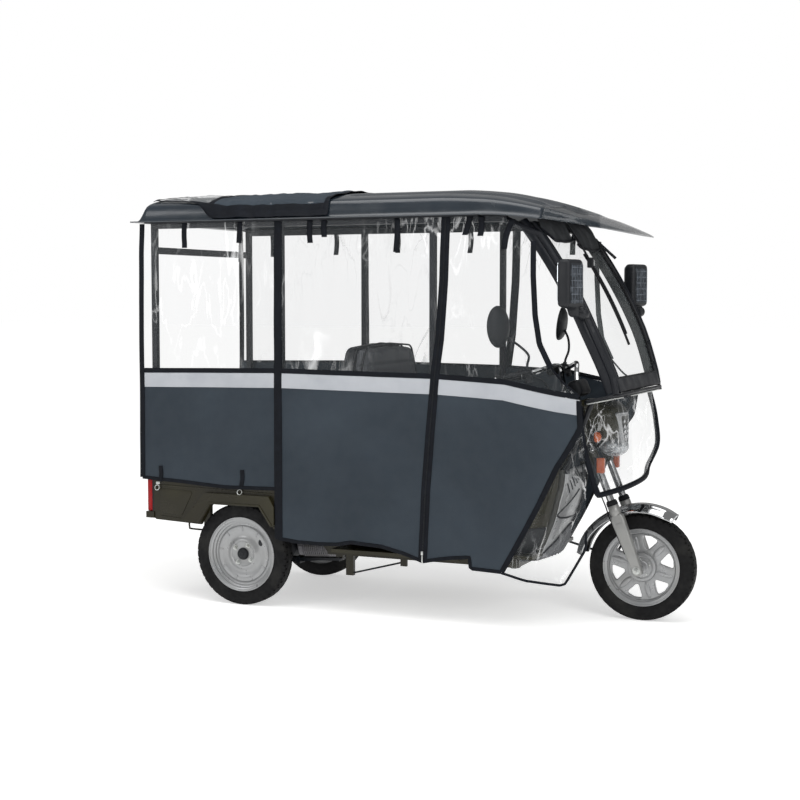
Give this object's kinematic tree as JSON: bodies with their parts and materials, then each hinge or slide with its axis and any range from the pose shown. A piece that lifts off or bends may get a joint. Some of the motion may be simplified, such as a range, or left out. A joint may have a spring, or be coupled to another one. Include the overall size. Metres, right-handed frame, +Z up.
{
  "type": "electric cabin scooter",
  "caption": "Enclosed electric cargo tricycle: roofed cabin on posts, zip rain curtains with clear windows, windscreen, open cargo box, raked fork and chrome front fender.",
  "frame": {"origin": "on the ground, at the middle of the whole length and width", "axes": "+X forward, +Y to the left, +Z up; the vehicle stands on its three tyres"},
  "size_m": [2.4798, 1.109, 1.8449],
  "materials": {
    "olive_paint": "dark olive gloss paint",
    "black_steel": "black paint",
    "roof_plastic": "dark grey-blue gloss",
    "visor_plastic": "smoked, see-through",
    "clear_film": "soft clear sheet",
    "screen_glass": "clear",
    "curtain_fabric": "dark grey-blue woven, matte",
    "seat_leather": "grey grained",
    "tyre_rubber": "black",
    "silver_paint": "silver paint",
    "chrome": "polished",
    "cast_metal": "painted casting",
    "red_lens": "red lens",
    "black_plastic": "black moulded"
  },
  "bodies": {
    "vehicle_body": {"chassis_frame": "olive_paint", "cabin_floor": "olive_paint", "cargo_bed": "olive_paint", "cargo_side_right": "olive_paint", "cargo_side_left": "olive_paint", "tail_lamp_right": "red_lens", "tail_lamp_left": "red_lens", "rear_axle": "black_steel", "drive_motor": "cast_metal", "leaf_spring_right": "black_steel", "leaf_spring_left": "black_steel", "brake_rod": "black_steel", "battery_box": "olive_paint", "seat_cushion": "seat_leather", "seat_backrest": "seat_leather", "canopy_side_right": "black_steel", "canopy_side_left": "black_steel", "rear_cross_bar": "black_steel", "roof_shell": "roof_plastic", "roof_visor": "visor_plastic", "rear_curtain": "curtain_fabric", "windscreen_frame": "black_steel", "windscreen_glass": "screen_glass", "screen_shelf": "black_plastic", "screen_mirror_right": "black_plastic", "screen_mirror_left": "black_plastic", "front_fairing": "silver_paint", "curtain_rear_right": "curtain_fabric", "curtain_rear_left": "curtain_fabric", "curtain_middle_right": "curtain_fabric", "curtain_middle_left": "curtain_fabric", "curtain_front_right": "curtain_fabric", "curtain_front_left": "curtain_fabric", "front_apron": "clear_film"},
    "tailgate_body": {"tailgate": "olive_paint"},
    "steering": {"fork": "chrome", "fork_slider_right": "cast_metal", "fork_slider_left": "cast_metal", "front_axle": "cast_metal", "front_fender": "chrome", "handlebar": "chrome", "bar_mirror_right": "black_plastic", "bar_mirror_left": "black_plastic", "headlamp_nacelle": "olive_paint", "front_brake_cable": "black_plastic"},
    "front_wheel": {"front_wheel_rim": "silver_paint", "front_wheel_tyre": "tyre_rubber"},
    "rear_wheel_right": {"rear_wheel_right_rim": "silver_paint", "rear_wheel_right_tyre": "tyre_rubber"},
    "rear_wheel_left": {"rear_wheel_left_rim": "silver_paint", "rear_wheel_left_tyre": "tyre_rubber"}
  },
  "joints": [
    {"name": "steering_turn", "type": "hinge", "parent": "vehicle_body", "child": "steering", "pos_m": [0.97033, 0, 0.21104], "axis": [-0.3746, 0, 0.9272], "range_deg": [-40, 40]},
    {"name": "front_wheel_spin", "type": "hinge", "parent": "steering", "child": "front_wheel", "pos_m": [1.01205, 0, 0.22789], "axis": [0, 1, 0], "continuous": true},
    {"name": "rear_wheel_right_spin", "type": "hinge", "parent": "vehicle_body", "child": "rear_wheel_right", "pos_m": [-0.70995, -0.388, 0.22789], "axis": [0, 1, 0], "continuous": true},
    {"name": "rear_wheel_left_spin", "type": "hinge", "parent": "vehicle_body", "child": "rear_wheel_left", "pos_m": [-0.70995, 0.388, 0.22789], "axis": [0, 1, 0], "continuous": true},
    {"name": "tailgate_drop", "type": "hinge", "parent": "vehicle_body", "child": "tailgate_body", "pos_m": [-1.15995, 0, 0.4878], "axis": [0, -1, 0], "range_deg": [0, 180]}
  ]
}
